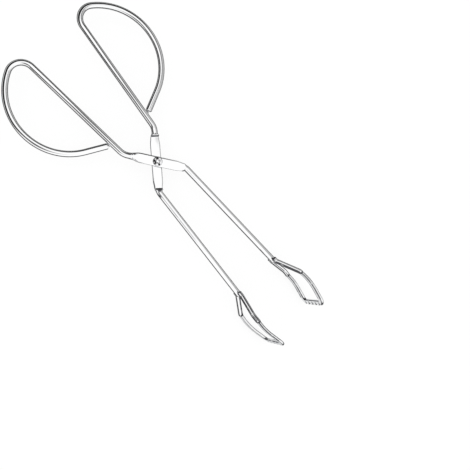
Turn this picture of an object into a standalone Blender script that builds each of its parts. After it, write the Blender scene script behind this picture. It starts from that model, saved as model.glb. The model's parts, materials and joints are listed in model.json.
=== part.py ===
"""Scissor tongs of bent wire: two alike arms crossed on one rivet, each with a toothed claw.

Metres. The rivet's axis is +Z and the handles point along +Y. The tongs lie half open, and the
origin is under the middle of their outline, at the height of the claws' lower edges.
"""

import math

import bmesh
import bpy
import numpy as np

# Wires and gaps
WIRE = 0.0045
CLAW_WIRE = 0.0036
CLEARANCE = 0.0003
MERGE = 0.00001
CUT_OVERRUN = 0.002

# Crossing of an arm, pressed flat: its two lengths from the rivet narrow before the shoulders
FLAT_WIDTH = 0.0077
FLAT_THICKNESS = 0.0021
FLAT_BULGE = 0.0008
HANDLE_FLAT_LENGTH = 0.0178
ROD_FLAT_LENGTH = 0.0190
TAPER_LENGTH = 0.0053
SHOULDER_WIDTH = 0.0066
SHOULDER_LENGTH = 0.0014
FLAT_LEAN_DEG = 37.8

# Handle of an arm: a bar, a corner and a bow that comes back to the bar near its bend
HANDLE_STUB = 0.0022
BAR_BEND_RADIUS = 0.0120
BAR_LEAN_DEG = 5.4
BAR_LENGTH = 0.0857
CORNER_RADIUS = 0.0098
CORNER_TURN_DEG = 114.5
BOW_TURN_DEG = 125.0
BOW_END_FROM_BEND = 0.0119
WELD_RADIUS = 0.0015

# Rod of an arm
ROD_STUB = 0.0003
ROD_BEND_RADIUS = 0.0045
ROD_LEAN_DEG = 3.1
ROD_LENGTH = 0.0966

# Claw: two legs beside the rod's end, then two strips and the end bar that joins them
CLAW_WIDTH = 0.0370
CLAW_LENGTH = 0.0484
STRIP_WIDTH = 0.0052
STRIP_THICKNESS = 0.0021
END_BAR_WIDTH = 0.0043
END_CORNER_RADIUS = 0.0040
LEG_OVERLAP = 0.0030
LEG_BEND_RADIUS = 0.0040
UPPER_LEG_REACH = 0.0166
LOWER_LEG_REACH = 0.0203

# Side view of a claw, from the rod's end to the end bar
LEG_LEAN_DEG = 19.4
LEG_RUN = 0.0156
STRIP_KINK_DEG = 8.0
STRIP_KINK_RADIUS = 0.0060
STRIP_BEND_DEG = 23.0
STRIP_BEND_RADIUS = 0.0460

# Teeth along the front edge of an end bar
NOTCHES = 5
NOTCH_DEPTH = 0.0020
NOTCH_MOUTH = 0.0042
TOOTH_LAND = 0.0018

# Rivet: a clinched rim with an eyelet in front, a low domed head behind
EYELET_RADIUS = 0.0011
EYELET_DEPTH = 0.0017
SHANK_WALL = 0.0005
RIM_RADIUS = 0.0035
RIM_HEIGHT = 0.0014
HEAD_RADIUS = 0.0035
HEAD_HEIGHT = 0.0012

# Fineness of the faceted surfaces
TUBE_RESOLUTION = 6
ARC_STEP_DEG = 8.0
PROFILE_STEP_DEG = 1.0
ROUND_STEPS = 28
STRIP_STATIONS = 10
BEAD_SEGMENTS = 16
BEAD_RINGS = 8
RIM_STEPS = 8
HEAD_STEPS = 6
SHARP_EDGE_DEG = 35.0


def direction(degrees):
    """Unit vector in the plane of the tongs, from an angle counted from +X towards +Y."""
    angle = math.radians(degrees)
    return np.array([math.cos(angle), math.sin(angle)])


def tangent_length(radius, turn_deg):
    """How much of each straight run the rounding of a corner takes up."""
    return radius * math.tan(math.radians(abs(turn_deg)) / 2)


def walk(start, heading_deg, moves, step_deg=ARC_STEP_DEG):
    """Points along runs (length, count) and arcs (radius, degrees to the left), and the last heading."""
    points = [np.array(start, float)]
    for kind, size, amount in moves:
        here = points[-1]
        if kind == "run":
            for k in range(1, amount + 1):
                points.append(here + size * k / amount * direction(heading_deg))
            continue
        side = math.copysign(1.0, amount)
        centre = here + side * size * direction(heading_deg + 90)
        count = max(2, math.ceil(abs(amount) / step_deg))
        for k in range(1, count + 1):
            points.append(centre - side * size * direction(heading_deg + amount * k / count + 90))
        heading_deg += amount
    return np.array(points), heading_deg


def rounded(corners, radii, counts):
    """Points along straight runs, each split in its count, with arcs of the radii at the inner corners."""
    corners = np.array(corners, float)
    runs = np.diff(corners, axis=0)
    lengths = np.hypot(runs[:, 0], runs[:, 1])
    headings = np.degrees(np.arctan2(runs[:, 1], runs[:, 0]))
    turns = (np.diff(headings) + 180) % 360 - 180
    cuts = [0] + [tangent_length(radius, turn) for radius, turn in zip(radii, turns)] + [0]
    moves = []
    for k, (length, count) in enumerate(zip(lengths, counts)):
        moves.append(("run", length - cuts[k] - cuts[k + 1], count))
        if k < len(turns):
            moves.append(("turn", radii[k], turns[k]))
    return walk(corners[0], headings[0], moves)[0]


def distances(path):
    """Distance of each point of a path from its first point."""
    steps = np.diff(path, axis=0)
    return np.concatenate([[0], np.cumsum(np.hypot(steps[:, 0], steps[:, 1]))])


def linked(name, data, collection):
    """A new object with this data, in this collection."""
    made = bpy.data.objects.new(name, data)
    collection.objects.link(made)
    return made


def as_mesh(obj, name):
    """The object's shape with its modifiers, as a mesh with its loose caps welded; the object goes."""
    graph = bpy.context.evaluated_depsgraph_get()
    mesh = bpy.data.meshes.new_from_object(obj.evaluated_get(graph))
    mesh.name = name
    bpy.data.objects.remove(obj)
    cage = bmesh.new()
    cage.from_mesh(mesh)
    bmesh.ops.remove_doubles(cage, verts=cage.verts, dist=MERGE)
    cage.to_mesh(mesh)
    cage.free()
    return mesh


def wire_mesh(name, path, diameter, collection):
    """A round wire with flat cut ends along a path in the XY plane."""
    curve = bpy.data.curves.new(name, "CURVE")
    curve.dimensions = "3D"
    curve.bevel_depth = diameter / 2
    curve.bevel_resolution = TUBE_RESOLUTION
    curve.use_fill_caps = True
    spline = curve.splines.new("POLY")
    spline.points.add(len(path) - 1)
    for point, (x, y) in zip(spline.points, path):
        point.co = (x, y, 0, 1)
    return as_mesh(linked(name, curve, collection), name)


def press(mesh, path, amount, width, thickness, bulge, rise):
    """Turn a wire's round section into a flat one, where amount goes from 0 to 1 along its path.

    The flat section is a rectangle whose sides bulge, lifted by rise across the path's plane.
    """
    co = np.empty(len(mesh.vertices) * 3)
    mesh.vertices.foreach_get("co", co)
    co = co.reshape(-1, 3)
    ahead = np.gradient(path, axis=0)
    ahead /= np.hypot(ahead[:, 0], ahead[:, 1])[:, None]
    beside = np.stack([-ahead[:, 1], ahead[:, 0]], axis=1)
    nearest = np.argmin(((co[:, None, :2] - path[None]) ** 2).sum(axis=2), axis=1)
    centre = path[nearest]
    across = ((co[:, :2] - centre) * beside[nearest]).sum(axis=1)
    angle = np.arctan2(co[:, 2], across)
    box = np.maximum(abs(np.cos(angle)), abs(np.sin(angle)))
    side_share = np.cos(angle) / box
    height_share = np.sin(angle) / box
    half_width = width[nearest] / 2 - bulge * height_share**2
    mix = amount[nearest]
    across += mix * (half_width * side_share - across)
    co[:, 2] += mix * (height_share * thickness / 2 + rise - co[:, 2])
    on_wire = mix > 0
    moved = centre + across[:, None] * beside[nearest]
    co[on_wire, :2] = moved[on_wire]
    mesh.vertices.foreach_set("co", co.ravel())
    mesh.update()


def boolean(obj, other, operation):
    """A live Boolean of one object with another."""
    modifier = obj.modifiers.new(other.name, "BOOLEAN")
    modifier.operation = operation
    modifier.solver = "EXACT"
    modifier.object = other


def guide(obj):
    """Show an object that only cuts or joins as a wire, and keep it out of renders."""
    obj.hide_render = True
    obj.display_type = "WIRE"
    return obj


def steel(name, colour, roughness):
    """A bright metal."""
    material = bpy.data.materials.new(name)
    material.use_nodes = True
    shader = material.node_tree.nodes["Principled BSDF"]
    shader.inputs["Base Color"].default_value = (*colour, 1)
    shader.inputs["Metallic"].default_value = 1
    shader.inputs["Roughness"].default_value = roughness
    return material


def smooth(mesh):
    """Shade a mesh smooth, with its real edges sharp."""
    mesh.shade_smooth()
    mesh.set_sharp_from_angle(angle=math.radians(SHARP_EDGE_DEG))


def flat_stations(length):
    """Distances from the rivet at which one side of the pressed crossing changes."""
    return np.array([length - TAPER_LENGTH, length, length + SHOULDER_LENGTH / 2, length + SHOULDER_LENGTH])


def arm_path():
    """Centre line of the front arm from the rod's end to the bow's end, and where the weld sits."""
    flat_deg = 90 + FLAT_LEAN_DEG
    bar_deg = 90 + BAR_LEAN_DEG
    rod_deg = ROD_LEAN_DEG - 90
    corner_deg = bar_deg + CORNER_TURN_DEG
    end_deg = corner_deg + BOW_TURN_DEG
    bar_turn = bar_deg - flat_deg
    rod_turn = rod_deg + 180 - flat_deg
    bar_cut = tangent_length(BAR_BEND_RADIUS, bar_turn)
    rod_cut = tangent_length(ROD_BEND_RADIUS, rod_turn)
    flat = direction(flat_deg)

    rod_start = ROD_FLAT_LENGTH + SHOULDER_LENGTH + ROD_STUB
    rod_moves = [("turn", ROD_BEND_RADIUS, rod_turn), ("run", ROD_LENGTH - rod_cut, 1)]
    rod, _ = walk(-rod_start * flat, flat_deg + 180, rod_moves)

    bar_start = HANDLE_FLAT_LENGTH + SHOULDER_LENGTH + HANDLE_STUB
    bar_moves = [
        ("turn", BAR_BEND_RADIUS, bar_turn),
        ("run", BAR_LENGTH - bar_cut, 1),
        ("turn", CORNER_RADIUS, CORNER_TURN_DEG),
    ]
    bar, _ = walk(bar_start * flat, flat_deg, bar_moves)

    # The bow ends square, one corner of its cut a clearance away from the bar
    bend = (bar_start + bar_cut) * flat
    bar_side = direction(bar_deg + 90)
    cut_half = WIRE / 2 * abs(direction(end_deg + 90) @ bar_side)
    stop = WIRE / 2 + CLEARANCE + cut_half
    end = bend + BOW_END_FROM_BEND * direction(bar_deg) + stop * bar_side
    unit_bow = direction(corner_deg + 90) - direction(end_deg + 90)
    ways = np.stack([unit_bow, direction(end_deg)], axis=1)
    bow_radius, bow_run = np.linalg.solve(ways, end - bar[-1])
    bow, _ = walk(bar[-1], corner_deg, [("turn", bow_radius, BOW_TURN_DEG), ("run", bow_run, 1)])
    weld = end - (cut_half + CLEARANCE / 2) * bar_side

    rod_flat = -flat_stations(ROD_FLAT_LENGTH)[::-1, None] * flat
    handle_flat = flat_stations(HANDLE_FLAT_LENGTH)[:, None] * flat
    return np.concatenate([rod[::-1], rod_flat, [[0, 0]], handle_flat, bar, bow[1:]]), weld


def arm_mesh(collection):
    """One arm: drawn wire, bent, pressed flat where it crosses the other, its bow welded to its bar."""
    path, weld = arm_path()
    along = distances(path)
    rivet_at = along[np.argmin(np.hypot(path[:, 0], path[:, 1]))]
    from_rivet = along - rivet_at
    flat_length = np.where(from_rivet < 0, ROD_FLAT_LENGTH, HANDLE_FLAT_LENGTH)
    beyond = abs(from_rivet) - flat_length
    amount = np.clip(1 - beyond / SHOULDER_LENGTH, 0, 1)
    narrowing = np.clip(1 + beyond / TAPER_LENGTH, 0, 1)
    width = FLAT_WIDTH + (SHOULDER_WIDTH - FLAT_WIDTH) * narrowing
    rise = (FLAT_THICKNESS + CLEARANCE) / 2

    wire = wire_mesh("arm", path, WIRE, collection)
    press(wire, path, amount, width, FLAT_THICKNESS, FLAT_BULGE, rise)
    arm = linked("arm", wire, collection)
    bpy.ops.mesh.primitive_uv_sphere_add(segments=BEAD_SEGMENTS, ring_count=BEAD_RINGS, radius=WELD_RADIUS)
    bead = guide(bpy.context.object)
    bead.name = "loop_weld"
    bead.location = (*weld, 0)
    boolean(arm, bead, "UNION")
    bpy.context.view_layer.update()
    mesh = as_mesh(arm, "arm")
    bpy.data.objects.remove(bead)
    return mesh


def claw_blank(collection):
    """The claw before it is bent: a U of wire in the XY plane, legs towards -X, pressed and notched."""
    leg_at = WIRE / 2 + CLEARANCE + CLAW_WIRE / 2
    strip_at = (CLAW_WIDTH - STRIP_WIDTH) / 2
    bar_at = CLAW_LENGTH - END_BAR_WIDTH / 2
    corners = [
        (-LEG_OVERLAP, leg_at),
        (0, leg_at),
        (UPPER_LEG_REACH, strip_at),
        (UPPER_LEG_REACH + SHOULDER_LENGTH, strip_at),
        (bar_at, strip_at),
        (bar_at, -strip_at),
        (LOWER_LEG_REACH + SHOULDER_LENGTH, -strip_at),
        (LOWER_LEG_REACH, -strip_at),
        (0, -leg_at),
        (-LEG_OVERLAP, -leg_at),
    ]
    radii = [LEG_BEND_RADIUS, 0, 0, END_CORNER_RADIUS, END_CORNER_RADIUS, 0, 0, LEG_BEND_RADIUS]
    counts = [1, 1, 1, STRIP_STATIONS, 1, STRIP_STATIONS, 1, 1, 1]
    path = rounded(corners, radii, counts)
    keep = np.concatenate([[True], np.diff(distances(path)) > MERGE])
    path = path[keep]
    reach = np.where(path[:, 1] > 0, UPPER_LEG_REACH, LOWER_LEG_REACH)
    amount = np.clip((path[:, 0] - reach) / SHOULDER_LENGTH, 0, 1)
    forward = (path[:, 0] - bar_at + END_CORNER_RADIUS) / END_CORNER_RADIUS
    width = STRIP_WIDTH + (END_BAR_WIDTH - STRIP_WIDTH) * np.clip(forward, 0, 1)

    wire = wire_mesh("claw_blank", path, CLAW_WIRE, collection)
    press(wire, path, amount, width, STRIP_THICKNESS, 0, 0)
    blank = linked("claw_blank", wire, collection)
    comb = guide(linked("notch_cutter", notch_comb(collection), collection))
    boolean(blank, comb, "DIFFERENCE")
    bpy.context.view_layer.update()
    mesh = as_mesh(blank, "claw")
    bpy.data.objects.remove(comb)
    return mesh


def notch_comb(collection):
    """V-shaped notches on one spine that clears the end bar's front edge."""
    spine = CLAW_LENGTH + CLEARANCE
    half_mouth = NOTCH_MOUTH / 2 * (NOTCH_DEPTH + CLEARANCE) / NOTCH_DEPTH
    places = (np.arange(NOTCHES) - (NOTCHES - 1) / 2) * (NOTCH_MOUTH + TOOTH_LAND)
    outline = []
    for place in places:
        outline.append((spine, place - half_mouth))
        outline.append((CLAW_LENGTH - NOTCH_DEPTH, place))
        outline.append((spine, place + half_mouth))
    outline.append((spine + CUT_OVERRUN, places[-1] + half_mouth))
    outline.append((spine + CUT_OVERRUN, places[0] - half_mouth))
    curve = bpy.data.curves.new("notch_comb", "CURVE")
    curve.dimensions = "2D"
    curve.fill_mode = "BOTH"
    curve.extrude = CLAW_WIRE / 2 + CUT_OVERRUN
    spline = curve.splines.new("POLY")
    spline.points.add(len(outline) - 1)
    for point, (x, y) in zip(spline.points, outline):
        point.co = (x, y, 0, 1)
    spline.use_cyclic_u = True
    return as_mesh(linked("notch_comb", curve, collection), "notch_comb")


def claw_profile(rod_end):
    """Side view of the front claw: points from the legs' ends on, and their distance from the rod's end."""
    rod_deg = ROD_LEAN_DEG - 90
    lean_turn = LEG_LEAN_DEG - ROD_LEAN_DEG
    leg_cut = tangent_length(LEG_BEND_RADIUS, lean_turn)
    kink_cut = tangent_length(STRIP_KINK_RADIUS, STRIP_KINK_DEG)
    start = rod_end - (LEG_OVERLAP + CUT_OVERRUN) * direction(rod_deg)
    moves = [
        ("run", LEG_OVERLAP + CUT_OVERRUN - leg_cut, 1),
        ("turn", LEG_BEND_RADIUS, lean_turn),
        ("run", LEG_RUN - leg_cut - kink_cut, 1),
        ("turn", STRIP_KINK_RADIUS, -STRIP_KINK_DEG),
        ("turn", STRIP_BEND_RADIUS, -STRIP_BEND_DEG),
        ("run", CLAW_LENGTH, 1),
    ]
    points, _ = walk(start, rod_deg, moves, PROFILE_STEP_DEG)
    return points, distances(points) - LEG_OVERLAP - CUT_OVERRUN


def claw_mesh(rod_end, collection):
    """One claw: the blank bent along the profile, so that its length follows it and its width is along Z."""
    mesh = claw_blank(collection)
    points, along = claw_profile(rod_end)
    co = np.empty(len(mesh.vertices) * 3)
    mesh.vertices.foreach_get("co", co)
    co = co.reshape(-1, 3)
    middle = (along[1:] + along[:-1]) / 2
    steps = np.diff(points, axis=0)
    heading = np.interp(co[:, 0], middle, np.unwrap(np.arctan2(steps[:, 1], steps[:, 0])))
    x = np.interp(co[:, 0], along, points[:, 0]) - np.sin(heading) * co[:, 2]
    y = np.interp(co[:, 0], along, points[:, 1]) + np.cos(heading) * co[:, 2]
    bent = np.stack([x, y, co[:, 1]], axis=1)
    mesh.vertices.foreach_set("co", bent.ravel())
    mesh.flip_normals()
    mesh.update()
    return mesh


def rivet_mesh():
    """Half section of the rivet at +X, from the eyelet's floor over the rim and down to the domed head."""
    seat = FLAT_THICKNESS + CLEARANCE / 2 + CLEARANCE
    top = seat + RIM_HEIGHT
    shank = EYELET_RADIUS + SHANK_WALL
    rim_middle = (EYELET_RADIUS + RIM_RADIUS) / 2
    rim_half = (RIM_RADIUS - EYELET_RADIUS) / 2
    profile = [(0, top - EYELET_DEPTH), (EYELET_RADIUS, top - EYELET_DEPTH)]
    for k in range(RIM_STEPS + 1):
        angle = math.pi * (1 - k / RIM_STEPS)
        height = RIM_HEIGHT * math.sin(angle)
        profile.append((rim_middle + rim_half * math.cos(angle), seat + height))
    profile += [(shank, seat), (shank, -seat), (HEAD_RADIUS, -seat)]
    for k in range(1, HEAD_STEPS):
        angle = math.pi / 2 * k / HEAD_STEPS
        profile.append((HEAD_RADIUS * math.cos(angle), -seat - HEAD_HEIGHT * math.sin(angle)))
    profile.append((0, -seat - HEAD_HEIGHT))
    mesh = bpy.data.meshes.new("rivet")
    edges = [(k, k + 1) for k in range(len(profile) - 1)]
    mesh.from_pydata([(x, 0, z) for x, z in profile], edges, [])
    return mesh


def main():
    for old in list(bpy.data.objects):
        bpy.data.objects.remove(old)
    scene = bpy.context.scene.collection
    parts = bpy.data.collections.new("barbecue_tongs")
    cutters = bpy.data.collections.new("cutters")
    scene.children.link(parts)
    scene.children.link(cutters)

    arm = arm_mesh(cutters)
    rod_end = arm_path()[0][0]
    claw = claw_mesh(rod_end, cutters)
    heights = [vertex.co.y for mesh in (arm, claw) for vertex in mesh.vertices]
    pivot = linked("pivot_axis", None, parts)
    pivot.location = (0, -(min(heights) + max(heights)) / 2, CLAW_WIDTH / 2)

    hole_radius = EYELET_RADIUS + SHANK_WALL + CLEARANCE
    hole_depth = 2 * FLAT_THICKNESS + CLEARANCE + CUT_OVERRUN
    bpy.ops.mesh.primitive_cylinder_add(vertices=ROUND_STEPS, radius=hole_radius, depth=hole_depth)
    hole = guide(bpy.context.object)
    hole.name = "rivet_hole_cutter"
    for holder in list(hole.users_collection):
        holder.objects.unlink(hole)
    cutters.objects.link(hole)
    hole.parent = pivot

    arm.materials.append(steel("arm_wire", (0.86, 0.87, 0.88), 0.12))
    claw.materials.append(steel("claw_wire", (0.84, 0.85, 0.86), 0.14))
    smooth(arm)
    smooth(claw)
    for side, turned in (("front", 0), ("back", math.pi)):
        for piece, mesh in (("arm", arm), ("claw", claw)):
            made = linked(f"{side}_{piece}", mesh, parts)
            made.parent = pivot
            made.rotation_euler = (0, turned, 0)
            if piece == "arm":
                boolean(made, hole, "DIFFERENCE")

    rivet = linked("pivot_rivet", rivet_mesh(), parts)
    rivet.parent = pivot
    rivet.data.materials.append(steel("rivet_steel", (0.72, 0.73, 0.74), 0.2))
    turning = rivet.modifiers.new("turning", "SCREW")
    turning.steps = ROUND_STEPS
    turning.render_steps = ROUND_STEPS
    turning.use_merge_vertices = True
    turning.merge_threshold = MERGE
    turning.use_smooth_shade = True
    weld = rivet.modifiers.new("weld", "WELD")
    weld.merge_threshold = MERGE


main()
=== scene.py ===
"""Barbecue tongs of bright chromed wire, half open on a white table."""

import math

import bpy
import numpy as np
from mathutils import Matrix, Vector
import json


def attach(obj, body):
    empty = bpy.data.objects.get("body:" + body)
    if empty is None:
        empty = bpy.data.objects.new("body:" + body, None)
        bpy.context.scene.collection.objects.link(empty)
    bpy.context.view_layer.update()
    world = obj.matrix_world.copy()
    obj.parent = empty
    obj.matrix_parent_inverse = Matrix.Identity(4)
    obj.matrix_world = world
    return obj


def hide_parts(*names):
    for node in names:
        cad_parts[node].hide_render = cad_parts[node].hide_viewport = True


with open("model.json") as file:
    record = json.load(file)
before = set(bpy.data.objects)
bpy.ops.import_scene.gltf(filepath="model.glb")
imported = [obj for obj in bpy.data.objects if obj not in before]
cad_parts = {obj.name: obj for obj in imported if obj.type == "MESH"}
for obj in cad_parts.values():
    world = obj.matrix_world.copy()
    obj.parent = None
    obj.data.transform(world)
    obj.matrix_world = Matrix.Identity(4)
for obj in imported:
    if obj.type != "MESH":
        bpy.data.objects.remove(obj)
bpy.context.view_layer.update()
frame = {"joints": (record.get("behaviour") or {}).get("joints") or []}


# Arms. Each arm is one drawn steel wire, bent cold round pins and pressed flat where it crosses the
# other one. Its bow comes back to the bar and is welded there. Both arms are the same part, turned
# over, and are chromed after the pressing and the welding.
HALVES = (("front", False), ("back", True))
WIRE = 0.0045
CLEARANCE = 0.0003
FLAT_LEAN_DEG = 37.8
FLAT_WIDTH = 0.0077
FLAT_THICKNESS = 0.0021
FLAT_BULGE = 0.0008
FLAT_EDGE_RADIUS = 0.0004
HANDLE_FLAT_LENGTH = 0.0178
ROD_FLAT_LENGTH = 0.0190
TAPER_LENGTH = 0.0053
SHOULDER_WIDTH = 0.0066
SHOULDER_LENGTH = 0.0014
ROD_SPREAD_START = 0.0030
ROD_SPREAD_LENGTH = 0.0030
HANDLE_SPREADS = {"front": (0.0032, 0.0076), "back": (0.0030, 0.0030)}
HANDLE_STUB = 0.0022
BAR_BEND_RADIUS = 0.0120
BAR_LEAN_DEG = 5.4
BAR_LENGTH = 0.0857
CORNER_RADIUS = 0.0098
CORNER_TURN_DEG = 114.5
BOW_TURN_DEG = 125.0
BOW_END_FROM_BEND = 0.0119
ROD_STUB = 0.0003
ROD_BEND_RADIUS = 0.0045
ROD_LEAN_DEG = 3.1
ROD_LENGTH = 0.0966
CUT_ROUNDING = 0.00035
CUT_EDGE_ROWS = 6
CUT_FACE_ROWS = 5
QUARTER_POINTS = 12
QUARTER_START_DEG = 0.4
RUN_SPACING = 0.0012
FLAT_SPACING = 0.0002
ARC_STEP_DEG = 1.5
STRAIGHT_WITHIN = 0.00035
PRESSED_SIDE_SHARPNESS = 2
BOW_CUT_STAIN = 0.35
# A press mark is its distance from the rivet, its ring angle and its size. A fine line is where it
# starts and ends, its ring angle and its spread.
PRESS_MARKS = {
    "front": [(-0.0203, 40, 0.0013)],
    "back": [(-0.0211, 270, 0.0012), (-0.0240, 215, 0.0015)],
}
FINE_LINES = {"front": [(0.0060, 0.0270, 20, 30)], "back": [(-0.0680, -0.0240, 240, 9)]}
FINE_LINE_FADE_SHARE = 1 / 3
FINE_LINE_STAIN = 0.6
CHROME = (0.87, 0.872, 0.876, 1.0)
HAZY_CHROME = (0.8265, 0.8284, 0.8322, 1.0)
# Dark steel for real stains, also the colour of painted shade and painted reflections
STAIN_AND_PAINTED_SHADE_STEEL = (0.07, 0.07, 0.08, 1.0)
WIRE_EDGE_TINT = (0.30, 0.31, 0.32, 1.0)
ARM_ROUGHNESS = 0.02
LINE_WAVES = (12.0, 1400.0, 1400.0)
BAND_WAVES = (4.0, 330.0, 330.0)
HAZE_WAVES = 260.0
PIT_WAVES = 2600.0
STAIN_AND_SHADE_LIMITS = (0.1, 0.9)
STAIN_AND_SHADE_HAZE_LIMITS = (0.25, 0.5)
PIT_LIMITS = (0.68, 0.75)
HAZE_DULLNESS = 0.03
LINE_DULLNESS = 0.02
STAIN_AND_SHADE_DULLNESS = 0.22
LINE_HEIGHT = 0.5
BAND_HEIGHT = 0.3
PIT_HEIGHT = -0.6
CHROME_BUMP_STRENGTH = 0.25
CHROME_BUMP = 0.00002

joint = frame["joints"][0]
pivot = np.array(joint["pos_m"])
half_turn = np.array([-1.0, 1.0, -1.0])
flat_deg = 90 + FLAT_LEAN_DEG
bar_deg = 90 + BAR_LEAN_DEG
rod_deg = ROD_LEAN_DEG - 90


def direction(degrees):
    """Unit vectors in the plane of the tongs: cosine and sine of angles counted from +X towards +Y."""
    angle = np.radians(degrees)
    return np.stack([np.cos(angle), np.sin(angle)], axis=-1)


def tangent_length(radius, turn_deg):
    """How much of each straight run a rounded corner takes up: radius times tangent of half the turn."""
    return radius * math.tan(math.radians(abs(turn_deg)) / 2)


def smoothstep(share):
    """Soft step from 0 to 1: three times the square less twice the cube of the clipped share."""
    share = np.clip(share, 0, 1)
    return share * share * (3 - 2 * share)


def half_way(amount):
    """1 half way down a soft step and 0 at its ends: four times the share times what is left of it."""
    return 4 * amount * (1 - amount)


def walk(start, heading_deg, moves, spacing=RUN_SPACING, step_deg=ARC_STEP_DEG):
    """Points along runs and arcs.

    A run is its start plus even shares of its length along the heading. An arc is its centre plus
    the radius, turned by even shares of its turn.
    """
    parts = [np.array([start], float)]
    for kind, size, turn in moves:
        here = parts[-1][-1]
        if kind == "run":
            count = max(1, math.ceil(size / spacing))
            parts.append(here + np.linspace(0, size, count + 1)[1:, None] * direction(heading_deg))
            continue
        side = math.copysign(1, turn)
        count = max(2, math.ceil(abs(turn) / step_deg))
        headings = heading_deg + turn * np.arange(1, count + 1) / count
        centre = here + side * size * direction(heading_deg + 90)
        parts.append(centre - side * size * direction(headings + 90))
        heading_deg += turn
    return np.concatenate(parts)


def distances(path):
    """Distance of each point from the first one: the running sum of the steps' lengths."""
    steps = np.diff(path, axis=0)
    return np.concatenate([[0], np.cumsum(np.hypot(steps[:, 0], steps[:, 1]))])


def arm_path():
    """Centre line of an arm, from the rod's end over the rivet to the bow's end, and its weld's place.

    The bow's arc and last run are as long as closes the loop with one corner of the cut at the bar.
    """
    corner_deg = bar_deg + CORNER_TURN_DEG
    end_deg = corner_deg + BOW_TURN_DEG
    bar_turn = bar_deg - flat_deg
    rod_turn = rod_deg + 180 - flat_deg
    bar_cut = tangent_length(BAR_BEND_RADIUS, bar_turn)
    rod_cut = tangent_length(ROD_BEND_RADIUS, rod_turn)
    flat = direction(flat_deg)

    rod_start = ROD_FLAT_LENGTH + SHOULDER_LENGTH + ROD_STUB
    rod_moves = [("turn", ROD_BEND_RADIUS, rod_turn), ("run", ROD_LENGTH - rod_cut, 0)]
    rod = walk(-rod_start * flat, flat_deg + 180, rod_moves)

    bar_start = HANDLE_FLAT_LENGTH + SHOULDER_LENGTH + HANDLE_STUB
    bar_moves = [
        ("turn", BAR_BEND_RADIUS, bar_turn),
        ("run", BAR_LENGTH - bar_cut, 0),
        ("turn", CORNER_RADIUS, CORNER_TURN_DEG),
    ]
    bar = walk(bar_start * flat, flat_deg, bar_moves)

    bend = (bar_start + bar_cut) * flat
    bar_side = direction(bar_deg + 90)
    cut_half = WIRE / 2 * abs(direction(end_deg + 90) @ bar_side)
    stop = WIRE / 2 + CLEARANCE + cut_half
    end = bend + BOW_END_FROM_BEND * direction(bar_deg) + stop * bar_side
    unit_bow = direction(corner_deg + 90) - direction(end_deg + 90)
    ways = np.stack([unit_bow, direction(end_deg)], axis=1)
    bow_radius, bow_run = np.linalg.solve(ways, end - bar[-1])
    bow = walk(bar[-1], corner_deg, [("turn", bow_radius, BOW_TURN_DEG), ("run", bow_run, 0)])
    weld = end - (cut_half + CLEARANCE / 2) * bar_side

    count = math.ceil((rod_start + bar_start) / FLAT_SPACING)
    crossing = np.linspace(-rod_start, bar_start, count + 1)[1:-1, None] * flat
    return np.concatenate([rod[::-1], crossing, bar, bow[1:]]), weld


arm_line, loop_weld_at = arm_path()

# The angles round every wire's section are in four quarters that nearly touch at the axes, which
# keeps a pressed wire's wide faces flat.
quarter = np.linspace(QUARTER_START_DEG, 90 - QUARTER_START_DEG, QUARTER_POINTS)
ring_deg = np.concatenate([quarter, quarter + 90, quarter + 180, quarter + 270])[None]
ring_cos = np.cos(np.radians(ring_deg))
ring_sin = np.sin(np.radians(ring_deg))


def section(width, height, edge):
    """A rounded box: each quarter circle of the edge's radius, pushed out to its corner of the box.

    With a radius of half the width and height it is a circle, so a wire's section changes smoothly
    from round to flat.
    """
    across = np.sign(ring_cos) * (width / 2 - edge) + edge * ring_cos
    up = np.sign(ring_sin) * (height / 2 - edge) + edge * ring_sin
    return across, up


def chord_square(line_deg):
    """Square of the chord from each ring angle to the line's, in a circle of radius 1."""
    return 2 - 2 * np.cos(np.radians(ring_deg - line_deg))


def line_along_wire(line_deg, spread_deg):
    """A line along a wire: a bell curve of the chord, which is 1 at the line's own ring angle."""
    return np.exp(-chord_square(line_deg) / math.radians(spread_deg) ** 2)


def with_cut_ends(path, radius):
    """Rows of a wire with rounded cut ends: their places, headings, radii, and which lie on a cut.

    Along a cut's quarter-round edge a row stands back by the rounding times one less the sine, and
    its radius is less by the rounding times one less the cosine. The rows on the cut's face then
    close it by even shares of the radius that is left.
    """
    edge = np.linspace(0, math.pi / 2, CUT_EDGE_ROWS)
    face = np.linspace(1, 0, CUT_FACE_ROWS)
    stand_back = CUT_ROUNDING * np.concatenate([1 - np.sin(edge), 0 * face])[:, None]
    end_radii = np.concatenate([radius - CUT_ROUNDING * (1 - np.cos(edge)), (radius - CUT_ROUNDING) * face])
    on_face = np.arange(len(end_radii)) >= CUT_EDGE_ROWS

    steps = np.gradient(path, axis=0)
    steps /= np.hypot(steps[:, 0], steps[:, 1])[:, None]
    first = path[0] + stand_back[::-1] * steps[0]
    last = path[-1] - stand_back * steps[-1]
    places = np.concatenate([first, path[1:-1], last])
    added = len(end_radii) - 1
    ahead = np.pad(steps, ((added, added), (0, 0)), mode="edge")
    between_ends = len(path) - 2
    radii = np.concatenate([end_radii[::-1], np.full(between_ends, radius), end_radii])
    on_cut = np.concatenate([on_face[::-1], np.zeros(between_ends, bool), on_face])
    return places, ahead, radii, on_cut


def laid_out(places, ahead, across):
    """Ring points in the path's plane: each row's place plus the across parts to its heading's left."""
    left = np.stack([-ahead[:, 1], ahead[:, 0]], axis=1)
    return places[:, None] + across[..., None] * left[:, None]


def stacked(*parts):
    """Vectors on a grid, from parts that are first stretched to the same rows and rings."""
    return np.stack(np.broadcast_arrays(*parts), axis=-1)


def quads_between(rows, ring):
    """Four-cornered faces from each ring of points to the next, with the rings one after the other."""
    start, step = np.meshgrid(np.arange(rows - 1) * ring, np.arange(ring), indexing="ij")
    after = (step + 1) % ring
    corners = [start + step, start + after, start + ring + after, start + ring + step]
    return np.stack(corners, axis=-1).reshape(-1, 4).tolist()


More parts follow.
